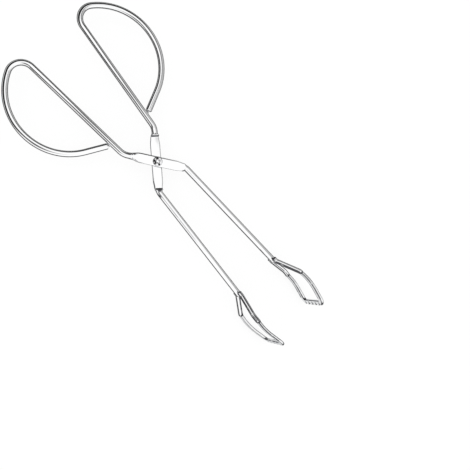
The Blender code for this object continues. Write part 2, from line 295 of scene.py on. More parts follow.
def fan_round(start, ring, tip):
    """Three-cornered faces from each step of the ring that begins at start to the tip."""
    step = np.arange(ring)
    return np.stack([start + step, start + (step + 1) % ring, np.full(ring, tip)], axis=-1)


def linked_object(name, mesh):
    """A new object in the scene that shows this mesh."""
    made = bpy.data.objects.new(name, mesh)
    bpy.context.scene.collection.objects.link(made)
    return made


def grid_mesh(name, points, lay, stain_and_painted_shade, turned):
    """A closed mesh from a grid of rings whose first and last rows have shrunk to a point each.

    The attribute lay keeps the places that the metal's patterns follow, for a wire those that its
    points had before it was bent, and a second attribute keeps how dark they are, from real stains
    and from painted shade and painted reflections. A turned mesh is the same one turned half way
    round the Y axis.
    """
    rows, ring = points.shape[:2]
    co = np.concatenate([points[1:-1].reshape(-1, 3), [points[0].mean(axis=0), points[-1].mean(axis=0)]])
    spots = np.concatenate([stain_and_painted_shade[1:-1].ravel(), [stain_and_painted_shade[0].mean(), stain_and_painted_shade[-1].mean()]])
    flat_lay = np.concatenate([lay[1:-1].reshape(-1, 3), [lay[0].mean(axis=0), lay[-1].mean(axis=0)]])
    start_fan = fan_round(0, ring, len(co) - 2)[:, [1, 0, 2]]
    end_fan = fan_round((rows - 3) * ring, ring, len(co) - 1)
    faces = quads_between(rows - 2, ring) + start_fan.tolist() + end_fan.tolist()
    mesh = bpy.data.meshes.new(name)
    placed = co * half_turn if turned else co
    mesh.from_pydata(placed + pivot, [], faces)
    field = mesh.attributes.new("lay", "FLOAT_VECTOR", "POINT")
    field.data.foreach_set("vector", flat_lay.ravel())
    share = mesh.attributes.new("stain_and_painted_shade", "FLOAT", "POINT")
    share.data.foreach_set("value", spots)
    mesh.shade_smooth()
    return linked_object(name, mesh)


def arm(name, half, turned):
    """One arm. Its section goes from a circle to a soft-edged flat with bulged sides at the crossing.

    The thickness and the rise go from the wire's to the flat's by a soft step over the shoulder's
    length, the width and the edge's radius by one that starts and ends further out. The flat narrows
    to its shoulders over the taper's length, and its sides draw in by the bulge times the square of
    the height's share. The darkening is strongest half way down the pressed side's step, where it is
    dirt and a painted shade of the step's dark reflection, and is even on the cut ends. It falls off
    as a bell curve of the distance round each press mark and beside each fine line, which fades in
    and out along the wire.
    """
    places, ahead, radii, on_cut = with_cut_ends(arm_line, WIRE / 2)
    flat = direction(flat_deg)
    from_rivet = places @ flat
    off_line = np.linalg.norm(places - from_rivet[:, None] * flat, axis=1)
    on_rod = from_rivet < 0
    flat_length = np.where(on_rod, ROD_FLAT_LENGTH, HANDLE_FLAT_LENGTH)
    beyond = np.where(off_line < STRAIGHT_WITHIN, abs(from_rivet) - flat_length, np.inf)
    amount = smoothstep(1 - beyond / SHOULDER_LENGTH)[:, None]
    handle_start, handle_length = HANDLE_SPREADS[half]
    spread_start = np.where(on_rod, ROD_SPREAD_START, handle_start)
    spread_length = np.where(on_rod, ROD_SPREAD_LENGTH, handle_length)
    spread = smoothstep((spread_start - beyond) / spread_length)[:, None]
    narrowing = smoothstep(1 + beyond / TAPER_LENGTH)[:, None]
    width = FLAT_WIDTH + (SHOULDER_WIDTH - FLAT_WIDTH) * narrowing

    diameter = 2 * radii[:, None]
    section_width = diameter + spread * (width - diameter)
    section_height = diameter + amount * (FLAT_THICKNESS - diameter)
    edge = np.minimum(diameter / 2 + spread * (FLAT_EDGE_RADIUS - diameter / 2), section_height / 2)
    across, up = section(section_width, section_height, edge)
    level = np.clip(abs(up) / (FLAT_THICKNESS / 2), 0, 1)
    across = across - np.sign(ring_cos) * amount * FLAT_BULGE * level**2
    up = up + amount * (FLAT_THICKNESS + CLEARANCE) / 2

    # Painted shade: the pressed side of each shoulder step is darkened for the step's dark reflection,
    # together with dirt
    pressed_side = np.clip(-PRESSED_SIDE_SHARPNESS * ring_sin, 0, 1)
    stain_and_painted_shade = pressed_side * half_way(amount) + on_cut[:, None] * BOW_CUT_STAIN
    for mark_at, mark_deg, size in PRESS_MARKS[half]:
        square = (from_rivet - mark_at)[:, None] ** 2 + (WIRE / 2) ** 2 * chord_square(mark_deg)
        stain_and_painted_shade = np.maximum(stain_and_painted_shade, np.exp(-square / size**2))
    for first, last, line_deg, spread_deg in FINE_LINES[half]:
        fade = (last - first) * FINE_LINE_FADE_SHARE
        inside = smoothstep((from_rivet - first) / fade) * smoothstep((last - from_rivet) / fade)
        line = FINE_LINE_STAIN * inside[:, None] * line_along_wire(line_deg, spread_deg)
        stain_and_painted_shade = np.maximum(stain_and_painted_shade, line)
    lay = stacked(distances(places)[:, None], WIRE / 2 * ring_cos, WIRE / 2 * ring_sin)
    flat_points = laid_out(places, ahead, across)
    points = stacked(flat_points[..., 0], flat_points[..., 1], up)
    return grid_mesh(name, points, lay, stain_and_painted_shade, turned)


class Flow:
    """A number, colour or vector that runs through a material's nodes; arithmetic adds Math nodes."""

    def __init__(self, socket):
        self.socket = socket
        self.tree = socket.id_data

    def node(self, kind, settings, values, output=0):
        """A node of this kind: first its settings, then values or links for its sockets."""
        return add_node(self.tree, kind, settings, values, output)

    def math(self, operation, first, second=0.0):
        return self.node("ShaderNodeMath", {"operation": operation}, {0: first, 1: second})

    def __add__(self, other):
        return self.math("ADD", self, other)

    def __sub__(self, other):
        return self.math("SUBTRACT", self, other)

    def __rsub__(self, other):
        return self.math("SUBTRACT", other, self)

    def __mul__(self, other):
        return self.math("MULTIPLY", self, other)

    def __truediv__(self, other):
        return self.math("DIVIDE", self, other)

    def __pow__(self, other):
        return self.math("POWER", self, other)

    __radd__ = __add__
    __rmul__ = __mul__

    def larger(self, other):
        return self.math("MAXIMUM", self, other)

    def sine(self):
        return self.math("SINE", self)

    def step(self, low, high):
        """0 below low, 1 above high, a soft step between."""
        settings = {"interpolation_type": "SMOOTHSTEP"}
        values = {"Value": self, "From Min": low, "From Max": high}
        return self.node("ShaderNodeMapRange", settings, values)

    def scaled(self, factors):
        return self.node("ShaderNodeVectorMath", {"operation": "MULTIPLY"}, {0: self, 1: factors})

    def parts(self):
        """The vector's three numbers."""
        return [self.node("ShaderNodeSeparateXYZ", {}, {"Vector": self}, k) for k in range(3)]

    def noise(self, scale, detail=3.0, roughness=0.5):
        """Noise between about 0.3 and 0.7 at this many waves a metre."""
        values = {"Vector": self, "Scale": scale, "Detail": detail, "Roughness": roughness}
        return self.node("ShaderNodeTexNoise", {}, values)

    def blended(self, first, second):
        """The first colour where this is 0, the second where it is 1."""
        return self.node("ShaderNodeMix", {"data_type": "RGBA"}, {0: self, 6: first, 7: second}, 2)

    def bump(self, strength, distance):
        """Normals of a surface that this height lifts by up to the distance, in metres."""
        return self.node("ShaderNodeBump", {}, {"Strength": strength, "Distance": distance, "Height": self})


def add_node(tree, kind, settings, values, output=0):
    """A node of this kind in this tree: first its settings, then values or links for its sockets."""
    made = tree.nodes.new(kind)
    for name, value in settings.items():
        setattr(made, name, value)
    for name, value in values.items():
        if isinstance(value, Flow):
            tree.links.new(value.socket, made.inputs[name])
        else:
            made.inputs[name].default_value = value
    return Flow(made.outputs[output])


def new_metal(name, edge_tint):
    """An empty metal that darkens to this tint at its outlines, its node tree and its shader node."""
    material = bpy.data.materials.new(name)
    material.use_nodes = True
    shader = material.node_tree.nodes["Principled BSDF"]
    shader.inputs["Metallic"].default_value = 1.0
    shader.inputs["Specular Tint"].default_value = edge_tint
    return material, material.node_tree, shader


def attribute(tree, name, output="Vector"):
    return add_node(tree, "ShaderNodeAttribute", {"attribute_name": name}, {}, output)


def connect(flow, socket):
    flow.tree.links.new(flow.socket, socket)


def chromed_wire(name, edge_tint, roughness):
    """Bright chrome on drawn wire: fine lines along the wire, polishing haze, pits, and dark stains with
    painted shade and painted reflections.
    """
    material, tree, shader = new_metal(name, edge_tint)
    lay = attribute(tree, "lay")
    stain_and_painted_shade = attribute(tree, "stain_and_painted_shade", "Fac")
    lines = lay.scaled(LINE_WAVES).noise(1.0, 2.0)
    bands = lay.scaled(BAND_WAVES).noise(1.0, 2.0)
    haze = lay.noise(HAZE_WAVES, 4.0, 0.6)
    pits = lay.noise(PIT_WAVES, 2.0)
    # Darker where the mesh holds stains and painted shade and painted reflections, broken up by the haze
    stain_and_shade_mask = stain_and_painted_shade.step(*STAIN_AND_SHADE_LIMITS) * haze.step(*STAIN_AND_SHADE_HAZE_LIMITS)
    connect(stain_and_shade_mask.blended(haze.blended(CHROME, HAZY_CHROME), STAIN_AND_PAINTED_SHADE_STEEL), shader.inputs["Base Color"])
    brushed = roughness + haze * HAZE_DULLNESS + lines * LINE_DULLNESS + bands * LINE_DULLNESS
    connect(brushed + stain_and_shade_mask * STAIN_AND_SHADE_DULLNESS, shader.inputs["Roughness"])
    height = lines * LINE_HEIGHT + bands * BAND_HEIGHT + pits.step(*PIT_LIMITS) * PIT_HEIGHT
    connect(height.bump(CHROME_BUMP_STRENGTH, CHROME_BUMP), shader.inputs["Normal"])
    return material


arm_chrome = chromed_wire("arm_chrome", WIRE_EDGE_TINT, ARM_ROUGHNESS)
for half, turned in HALVES:
    piece = arm(f"{half}_arm_wire", half, turned)
    piece.data.materials.append(arm_chrome)
    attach(piece, f"{half}_half")
    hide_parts(f"{half}_arm")


# Loop welds. The cut end of each bow is joined to the bar by one small bead of melted wire. The
# chrome over it is dull and has dark burnt spots.
WELD_RADII = (0.0007, 0.0016, 0.0010)
WELD_RINGS = 24
WELD_SEGMENTS = 48
LUMP_SHARES = (0.06, 0.04)
WELD_STEEL = (0.72, 0.72, 0.73, 1.0)
BURNT_STEEL = (0.16, 0.16, 0.17, 1.0)
WELD_ROUGHNESS = 0.22
BURN_WAVES = 900.0
BURN_LIMITS = (0.48, 0.62)
BURN_DULLNESS = 0.25
RIPPLE_WAVES = 2600.0
RIPPLE_DULLNESS = 0.1
WELD_BUMP_STRENGTH = 0.5
WELD_BUMP = 0.0001


def full_turn(segments):
    """The angles of this many even steps round a circle."""
    return np.arange(segments) * 2 * math.pi / segments


def globe(lift, angle):
    """Unit vectors: the lift's cosine times the angle's cosine and sine, and the lift's sine."""
    return stacked(np.cos(lift) * np.cos(angle), np.cos(lift) * np.sin(angle), np.sin(lift))


def bead(name, middle, radii, turned):
    """A lumpy ball: a globe scaled by three radii and swollen by two slow waves.

    One wave goes three times round, the other once round and two and a half times from pole to pole.
    Both die away to the poles with the lift's cosine.
    """
    lift = np.linspace(-math.pi / 2, math.pi / 2, WELD_RINGS)[:, None]
    angle = full_turn(WELD_SEGMENTS)
    round_wave, climbing_wave = LUMP_SHARES
    waves = round_wave * np.sin(3 * angle + 2 * lift) + climbing_wave * np.sin(5 * lift + angle)
    swell = 1 + waves * np.cos(lift)
    points = np.array(middle) + globe(lift, angle) * swell[..., None] * np.array(radii)
    return grid_mesh(name, points, points, np.zeros(points.shape[:2]), turned)


def weld_metal(name):
    """Melted steel under thin chrome: grey skin with fine ripples and dark burnt spots."""
    material, tree, shader = new_metal(name, WIRE_EDGE_TINT)
    lay = attribute(tree, "lay")
    burnt = lay.noise(BURN_WAVES).step(*BURN_LIMITS)
    ripples = lay.noise(RIPPLE_WAVES, 2.0)
    connect(burnt.blended(WELD_STEEL, BURNT_STEEL), shader.inputs["Base Color"])
    worn = WELD_ROUGHNESS + burnt * BURN_DULLNESS + ripples * RIPPLE_DULLNESS
    connect(worn, shader.inputs["Roughness"])
    connect(ripples.bump(WELD_BUMP_STRENGTH, WELD_BUMP), shader.inputs["Normal"])
    return material


weld_steel = weld_metal("weld_steel")
for half, turned in HALVES:
    piece = bead(f"{half}_loop_weld", (*loop_weld_at, 0), WELD_RADII, turned)
    piece.data.materials.append(weld_steel)
    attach(piece, f"{half}_half")


# Claws. A claw is a thinner wire bent to a U. Its two legs lie beside the end of the rod, its
# strips and its end bar are pressed flat and curved, and five notches are cut in the end bar. The
# dark lines along the legs and along the strips' edges, and the strips' dark lower halves, are
# painted reflections and painted shade in the chrome's colour.
CLAW_WIRE = 0.0036
CLAW_WIDTH = 0.0370
CLAW_LENGTH = 0.0484
STRIP_WIDTH = 0.0052
STRIP_THICKNESS = 0.0021
STRIP_EDGE_RADIUS = 0.0009
END_BAR_WIDTH = 0.0043
END_CORNER_RADIUS = 0.0040
LEG_OVERLAP = 0.0030
LEG_BEND_RADIUS = 0.0040
UPPER_LEG_REACH = 0.0166
LOWER_LEG_REACH = 0.0203
LEG_LEAN_DEG = 19.4
LEG_RUN = 0.0156
KINK_RADIUS = 0.0016
STRIP_KINK_DEG = 8.0
STRIP_KINK_RADIUS = 0.0060
STRIP_BEND_DEG = 23.0
STRIP_BEND_RADIUS = 0.0460
NOTCHES = 5
NOTCH_DEPTH = 0.0020
NOTCH_MOUTH = 0.0042
TOOTH_LAND = 0.0018
CLAW_SPACING = 0.0003
CLAW_ARC_STEP_DEG = 3.0
PROFILE_STEP_DEG = 0.25
# Painted shade with dirt on the claws' shoulder steps
CLAW_STEP_STAIN_AND_SHADE = 1.5
# Painted shade with filed steel on the notches' faces
NOTCH_STAIN_AND_SHADE = 2
CORNER_MARK = 0.0012
# Painted shadow a short way past the front claw's leg ends, where they meet the rod
LEG_CUT_PAINTED_SHADOWS = {"front": 0.0006, "back": 0.0}
# A painted reflection line is the side of its leg, its ring angle and its spread.
PAINTED_LEG_REFLECTIONS = {
    "front": [(1, -38, 24), (1, 55, 15), (-1, -164, 12)],
    "back": [(1, -152, 32), (-1, -8, 20), (-1, 54, 20)],
}
# Painted reflections and painted shade on the strips: lines along the edges, dark lower halves and a shaded
# lower strip
EDGE_LINE_SHARPNESS = 1.6
EDGE_LINE_HALF_DEGS = {"front": (38, 38), "back": (48, 32)}
CAMERA_SIDE_PAINTED_LINES = {"front": (0.8, 0.8), "back": (1.0, 0.5)}
FACE_FADE = 1.0
LOWER_STRIP_SHADES = {"front": 0.9, "back": 0.0}
SHADE_FROM = 0.0280
SHADE_LENGTH = 0.0080
POLISHED_LEG_SIDES = {"front": -1, "back": 0}
STRIP_EDGE_TINT = (0.75, 0.76, 0.77, 1.0)
STRIP_ROUGHNESS = 0.03

rod_end = arm_line[0]
strip_at = (CLAW_WIDTH - STRIP_WIDTH) / 2
bar_at = CLAW_LENGTH - END_BAR_WIDTH / 2


def rounded(corners, radii):
    """Points along straight runs with arcs of these radii at the inner corners."""
    corners = np.array(corners, float)
    runs = np.diff(corners, axis=0)
    lengths = np.hypot(runs[:, 0], runs[:, 1])
    headings = np.degrees(np.arctan2(runs[:, 1], runs[:, 0]))
    turns = (np.diff(headings) + 180) % 360 - 180
    cuts = [0] + [tangent_length(radius, turn) for radius, turn in zip(radii, turns)] + [0]
    moves = []
    for k, length in enumerate(lengths):
        moves.append(("run", length - cuts[k] - cuts[k + 1], 0))
        if k < len(turns):
            moves.append(("turn", radii[k], turns[k]))
    return walk(corners[0], headings[0], moves, CLAW_SPACING, CLAW_ARC_STEP_DEG)


def claw_path():
    """Centre line of a claw's U before it is bent, from one leg's end round the end bar to the other's."""
    leg_at = WIRE / 2 + CLEARANCE + CLAW_WIRE / 2
    corners = [
        (-LEG_OVERLAP, leg_at),
        (0, leg_at),
        (UPPER_LEG_REACH, strip_at),
        (bar_at, strip_at),
        (bar_at, -strip_at),
        (LOWER_LEG_REACH, -strip_at),
        (0, -leg_at),
        (-LEG_OVERLAP, -leg_at),
    ]
    radii = [LEG_BEND_RADIUS, KINK_RADIUS, END_CORNER_RADIUS]
    return rounded(corners, radii + radii[::-1])


def claw_profile():
    """Side view of a claw, and how far along the claw its points lie from the rod's end.

    It runs beside the rod, leans out, kinks back, follows a wide arc inwards and runs on.
    """
    lean_turn = LEG_LEAN_DEG - ROD_LEAN_DEG
    leg_cut = tangent_length(LEG_BEND_RADIUS, lean_turn)
    kink_cut = tangent_length(STRIP_KINK_RADIUS, STRIP_KINK_DEG)
    lead = LEG_OVERLAP + WIRE
    moves = [
        ("run", lead - leg_cut, 0),
        ("turn", LEG_BEND_RADIUS, lean_turn),
        ("run", LEG_RUN - leg_cut - kink_cut, 0),
        ("turn", STRIP_KINK_RADIUS, -STRIP_KINK_DEG),
        ("turn", STRIP_BEND_RADIUS, -STRIP_BEND_DEG),
        ("run", CLAW_LENGTH, 0),
    ]
    points = walk(rod_end - lead * direction(rod_deg), rod_deg, moves, CLAW_SPACING, PROFILE_STEP_DEG)
    return points, distances(points) - lead


def claw_stains_and_painted_shade(half, places, amount, on_cut, filed):
    """Stain and painted shade of the legs, the shoulders, the end corners and the notches.

    The shoulders are darkest half way down their step, with dirt and a painted shade of the step's
    dark reflection. The leg's cuts are dark all over, and the front claw's legs also a short way
    past the cut, a painted shadow where they meet the rod. The filed notches are dark all over, as
    filed steel with painted shade on their faces. An end corner's mark is a bell curve of the
    distance from the middle of its arc, and is strongest at the wire's inner and outer side. Painted
    reflection lines run along one leg each.
    """
    length = distances(places)[:, None]
    from_cut = np.minimum(length, length[-1] - length)
    cut_and_painted_shadow = on_cut[:, None] | (from_cut < LEG_CUT_PAINTED_SHADOWS[half])
    # Real stains of the cuts, and painted shade of the shoulder steps, the notches and the leg ends
    stain_and_painted_shade = CLAW_STEP_STAIN_AND_SHADE * half_way(amount) + cut_and_painted_shadow + NOTCH_STAIN_AND_SHADE * filed
    arc_inset = END_CORNER_RADIUS * (1 - math.sqrt(0.5))
    off_arc = np.hypot(places[:, :1] - bar_at + arc_inset, abs(places[:, 1:]) - strip_at + arc_inset)
    stain_and_painted_shade = np.maximum(stain_and_painted_shade, np.exp(-((off_arc / CORNER_MARK) ** 2)) * (1 - ring_sin**4))
    # Painted reflections: dark lines along the legs
    for leg_side, line_deg, spread_deg in PAINTED_LEG_REFLECTIONS[half]:
        on_leg = (1 - amount) * (places[:, 1:] * leg_side > 0)
        stain_and_painted_shade = np.maximum(stain_and_painted_shade, on_leg * line_along_wire(line_deg, spread_deg))
    return stain_and_painted_shade


def painted_strip_reflections(half, turned, places, forward):
    """Painted dark reflections and shade on the strips and the end bar. Values in pairs are for the upper
    strip, then the lower one.

    The half of a strip's section that faces down is dark. Elsewhere a line runs along each rounded
    edge, strongest at its middle. The wide faces' other ends go below 0, so the dark half reaches
    over only a part of a face. They go less far down where the lower strip is shaded, which is on
    the camera's side past a soft step along the claw.
    """
    towards_top = -1 if turned else 1
    upper = places[:, 1:] * towards_top > 0
    on_strip = forward == 0
    camera_side = ring_sin * towards_top < 0
    # Painted shade: the half of each strip that faces down is dark
    faces_down = on_strip & (ring_cos * places[:, 1:] * towards_top < 0)
    off_edge = abs(ring_deg % 90 - 45) / np.where(upper, *EDGE_LINE_HALF_DEGS[half])
    painted_line_strength = np.where(on_strip & camera_side, np.where(upper, *CAMERA_SIDE_PAINTED_LINES[half]), 1.0)
    painted_edge_line = painted_line_strength * np.clip(EDGE_LINE_SHARPNESS * (1 - off_edge), 0, 1)
    shade = LOWER_STRIP_SHADES[half] * ~upper * smoothstep((places[:, :1] - SHADE_FROM) / SHADE_LENGTH)
    face_end = abs(ring_sin) > math.cos(math.radians(2 * QUARTER_START_DEG))
    painted_edge_line = painted_edge_line - face_end * (FACE_FADE - shade * camera_side)
    return np.where(faces_down, 1.0, painted_edge_line)


def claw(name, half, turned):
    """One claw: a flat U with pressed strips and notches, then bent along its side profile.

    The section is mixed from a circle to a soft-edged rectangle past each leg's shoulder. A notch
    draws the front edge back by its depth times one less the distance from its middle over half its
    mouth. Bending puts each point at the profile's point at its length, plus its height along the
    profile's normal, and its width along Z. The strips, the end bar and a polished leg take the
    second material.
    """
    places, ahead, radii, on_cut = with_cut_ends(claw_path(), CLAW_WIRE / 2)
    reach = np.where(places[:, 1] > 0, UPPER_LEG_REACH, LOWER_LEG_REACH)
    amount = smoothstep((places[:, 0] - reach) / SHOULDER_LENGTH)[:, None]
    forward = smoothstep((places[:, 0] - bar_at + END_CORNER_RADIUS) / END_CORNER_RADIUS)[:, None]
    width = STRIP_WIDTH + (END_BAR_WIDTH - STRIP_WIDTH) * forward

    diameter = 2 * radii[:, None]
    section_width = diameter + amount * (width - diameter)
    section_height = diameter + amount * (STRIP_THICKNESS - diameter)
    edge = diameter / 2 + amount * (STRIP_EDGE_RADIUS - diameter / 2)
    across, up = section(section_width, section_height, edge)

    blank = laid_out(places, ahead, across)
    notch_middles = (np.arange(NOTCHES) - (NOTCHES - 1) / 2) * (NOTCH_MOUTH + TOOTH_LAND)
    off_middle = abs(blank[..., 1:] - notch_middles).min(axis=-1)
    notch = NOTCH_DEPTH * np.clip(1 - off_middle / (NOTCH_MOUTH / 2), 0, 1)
    filed = np.clip((blank[..., 0] - CLAW_LENGTH + notch) / NOTCH_DEPTH, 0, 1)
    blank[..., 0] = np.minimum(blank[..., 0], CLAW_LENGTH - notch)

    profile, along = claw_profile()
    steps = np.diff(profile, axis=0)
    headings = np.unwrap(np.arctan2(steps[:, 1], steps[:, 0]))
    heading = np.interp(blank[..., 0], (along[1:] + along[:-1]) / 2, headings)
    x = np.interp(blank[..., 0], along, profile[:, 0]) - np.sin(heading) * up
    y = np.interp(blank[..., 0], along, profile[:, 1]) + np.cos(heading) * up
    bent = stacked(x, y, blank[..., 1])

    lay = stacked(distances(places)[:, None], CLAW_WIRE / 2 * ring_cos, CLAW_WIRE / 2 * ring_sin)
    # Real stains with painted shade and painted reflections of the shoulders, notches and legs
    stain_and_painted_shade = claw_stains_and_painted_shade(half, places, amount, on_cut, filed)
    # Painted reflections and painted shade on the strips and the end bar
    stain_and_painted_shade = stain_and_painted_shade + amount * painted_strip_reflections(half, turned, places, forward)
    made = grid_mesh(name, bent[:, ::-1], lay[:, ::-1], stain_and_painted_shade[:, ::-1], turned)
    polished = (amount[1:-2, 0] > 0.5) | (places[1:-2, 1] * POLISHED_LEG_SIDES[half] > 0)
    ring = across.shape[1]
    slots = np.concatenate([np.repeat(polished, ring), np.zeros(2 * ring, bool)])
    made.data.polygons.foreach_set("material_index", slots.astype(np.int32))
    return made


claw_chrome = chromed_wire("claw_chrome", STRIP_EDGE_TINT, STRIP_ROUGHNESS)
for half, turned in HALVES:
    piece = claw(f"{half}_claw_wire", half, turned)
    piece.data.materials.append(arm_chrome)
    piece.data.materials.append(claw_chrome)
    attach(piece, f"{half}_half")
    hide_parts(f"{half}_claw")


# Leg welds. Each leg is spot welded to the side of the rod over its last few millimetres, where the
# two wires melt into one another.
NUGGET_LENGTH = 0.0022
NUGGET_WIDTH = 0.0011
NUGGET_HALF_GAP = 0.00045

nugget_at = rod_end - LEG_OVERLAP / 2 * direction(rod_deg)
nugget_radii = (NUGGET_WIDTH / 2, NUGGET_LENGTH / 2, NUGGET_HALF_GAP)
for half, turned in HALVES:
    for place, side in (("upper", 1), ("lower", -1)):
        middle = (*nugget_at, side * (WIRE + CLEARANCE) / 2)
        piece = bead(f"{half}_{place}_leg_weld", middle, nugget_radii, turned)
        piece.data.materials.append(weld_steel)
        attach(piece, f"{half}_half")


# Rivet. A mild steel rivet with a low domed head behind, set by a press that rolls its hollow end
# outwards over the front arm and leaves a dimpled, slightly uneven rim.
EYELET_RADIUS = 0.0011
EYELET_DEPTH = 0.0017
WELL_FLOOR_SHARE = 0.6
WELL_DISH = 0.0002
WELL_FILLET = 0.0003
SHANK_WALL = 0.0005
RIM_RADIUS = 0.0035
RIM_HEIGHT = 0.0014
RIM_POINTS = 33
HEAD_RADIUS = 0.0035
HEAD_HEIGHT = 0.0012
HEAD_POINTS = 17
RIVET_SEGMENTS = 96
DENT_DEPTH = 0.0003
# A dent is its direction from the rivet's middle, its distance from there and its size.
RIVET_DENTS = [
    (63, 0.0019, 0.0012),
    (34, 0.0006, 0.0008),
    (132, 0.0026, 0.0011),
    (157, 0.0018, 0.0009),
    (176, 0.0029, 0.0009),
    (-111, 0.0026, 0.0010),
]
RIVET_STEEL = (0.86, 0.86, 0.87, 1.0)
RIVET_DARK = (0.03, 0.03, 0.03, 1.0)
RIVET_ROUGHNESS = 0.06
PATCH_WAVES = 700.0
PATCH_LIMITS = (0.4, 0.6)
PATCH_DULLNESS = 0.08
PATCH_HEIGHT = 0.8
DENT_DARK_LIMITS = (0.3, 0.6)
DARK_DULLNESS = 0.35
WELL_DARKNESS = 0.4
WELL_DARK_SHARE = 0.3
PRESS_RING_WAVES = 14000.0
PRESS_RING_HEIGHT = 0.1
RIVET_BUMP_STRENGTH = 0.4
RIVET_BUMP = 0.00006


def rivet(name):
    """The rivet, turned from its half section: radius and height of each row, with dents from the press.

    The rim is half a circle flattened to its height, the head a quarter circle. Each dent lowers the
    rim by its depth times a bell curve of the distance from its middle, and is darker.
    """
    seat = FLAT_THICKNESS + CLEARANCE / 2 + CLEARANCE
    shank = EYELET_RADIUS + SHANK_WALL
    floor = seat + RIM_HEIGHT - EYELET_DEPTH
    well = [
        (0, floor - WELL_DISH),
        (EYELET_RADIUS * WELL_FLOOR_SHARE, floor),
        (EYELET_RADIUS, floor + WELL_FILLET),
    ]
    rim_middle = (EYELET_RADIUS + RIM_RADIUS) / 2
    rim_half = (RIM_RADIUS - EYELET_RADIUS) / 2
    roll = np.linspace(math.pi, 0, RIM_POINTS)
    rim = stacked(rim_middle + rim_half * np.cos(roll), seat + RIM_HEIGHT * np.sin(roll))
    fall = np.linspace(0, math.pi / 2, HEAD_POINTS)
    head = stacked(HEAD_RADIUS * np.cos(fall), -seat - HEAD_HEIGHT * np.sin(fall))
    half_section = np.concatenate([well, rim, [(shank, seat), (shank, -seat)], head])
    radius, z = half_section[:, :1], half_section[:, 1:]
    angle = full_turn(RIVET_SEGMENTS)
    x = radius * np.cos(angle)
    y = radius * np.sin(angle)
    dent = np.zeros_like(x)
    for dent_deg, out, size in RIVET_DENTS:
        dent_x, dent_y = out * direction(dent_deg)
        from_middle = np.hypot(x - dent_x, y - dent_y)
        dent = np.maximum(dent, np.exp(-((from_middle / size) ** 2)))
    dent = dent * np.clip((z - seat) / RIM_HEIGHT, 0, 1)
    points = stacked(x, y, z - DENT_DEPTH * dent)
    return grid_mesh(name, points[::-1], points[::-1], dent[::-1], False)


def rivet_metal(name):
    """Polished steel with rings from the press, dulled and darker in the dents and in the eyelet."""
    material, tree, shader = new_metal(name, WIRE_EDGE_TINT)
    lay = attribute(tree, "lay")
    dent = attribute(tree, "stain_and_painted_shade", "Fac")
    x, y, _ = lay.parts()
    out = (x * x + y * y) ** 0.5
    patches = lay.noise(PATCH_WAVES)
    inside = 1.0 - out.step(EYELET_RADIUS * WELL_DARK_SHARE, EYELET_RADIUS)
    darkened = dent.step(*DENT_DARK_LIMITS).larger(inside * WELL_DARKNESS * patches.step(*PATCH_LIMITS))
    connect(darkened.blended(RIVET_STEEL, RIVET_DARK), shader.inputs["Base Color"])
    worn = RIVET_ROUGHNESS + patches * PATCH_DULLNESS + darkened * DARK_DULLNESS
    connect(worn, shader.inputs["Roughness"])
    height = patches * PATCH_HEIGHT + (out * PRESS_RING_WAVES).sine() * PRESS_RING_HEIGHT
    connect(height.bump(RIVET_BUMP_STRENGTH, RIVET_BUMP), shader.inputs["Normal"])
    return material


piece = rivet("clinched_rivet")
piece.data.materials.append(rivet_metal("rivet_steel"))
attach(piece, "back_half")
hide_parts("pivot_rivet")


# Table, light tent and camera. The tongs lie on a white table in a white tent. Metal sees a grey
# wall on the tent's east side and a dark board on the handles' side, which draw the lines in the
# chrome.
TABLE_RADIUS = 0.60
TABLE_SEGMENTS = 128
TABLE_DROP = 0.0002
TABLE_WHITE = (0.90, 0.90, 0.90, 1.0)
WHITE = (1.0, 1.0, 1.0, 1.0)
SHADOW_SHARE = 0.15
SLANT_START_SHARES = (0.07, 0.19)
SLANT_END_SHARES = (0.85, 0.90)
SLANT_GREY = 0.12
TENT_RADIUS = 0.25
TENT_ROWS = 24
TENT_SEGMENTS = 64
TENT_FILL = 1.0
TENT_WHITE = 1.2
WALL_GREY = 0.54
WALL_TOP_SHARES = (0.80, 0.86)
WALL_END_SHARES = (-0.74, -0.60)
EAST_HALF_SHARES = (-0.10, 0.10)
EAST_SHARES = (-0.05, 0.25)
BOARD_SLANTS = (-0.475, 0.6)
BOARD_STARTS = (-0.515, -0.20)
BOARD_BLURS = (0.35, 0.14)
BOARD_FEET = (0.45, 0.45)
BOARD_FOOT_BLURS = (0.17, 0.30)
BOARD_HEADS = (0.87, 0.92)
BOARD_HEAD_BLURS = (0.09, 0.035)
DEEP_SHARES = (0.30, 0.60)
DEEP_FOOT_DROP = 0.42
DEEP_HEAD_DROP = 0.28
BOARD_GREY = 0.12
BOARD_DARK = 0.02
FOOT_LIGHTS = (1.10, 0.50)
HEAD_LIGHT = 1.2
LAMP_PLACE = (-0.40, 0.30, 1.30)
LAMP_SIZE = 1.2
LAMP_WATTS = 6.0
VIEW_TILT_DEG = 19.342
VIEW_DIRECTION_DEG = 6.453
VIEW_SPIN_DEG = 42.102
VIEW_DISTANCE = 0.576
PIVOT_LEFT_OF_CENTRE = 0.05628
PIVOT_ABOVE_CENTRE = 0.05274
LENS_MM = 61.28
SENSOR_MM = 36.0


def dome(name, radius, drop, rows, segments):
    """A round shell open below: rings of a globe's upper half, or with one row its rim as a disc."""
    lift = np.arange(rows)[:, None] * math.pi / 2 / rows
    rings = radius * globe(lift, full_turn(segments)).reshape(-1, 3)
    top = [0, 0, radius if rows > 1 else 0]
    co = np.concatenate([rings, [top]]) - [0, 0, drop]
    fan = fan_round((rows - 1) * segments, segments, len(co) - 1)
    mesh = bpy.data.meshes.new(name)
    mesh.from_pydata(co, [], quads_between(rows, segments) + fan.tolist())
    return linked_object(name, mesh)


def light_path(tree, kind):
    """1 for rays of this kind, such as those that metal sees by, and 0 for all others."""
    return add_node(tree, "ShaderNodeLightPath", {}, {}, f"Is {kind} Ray")


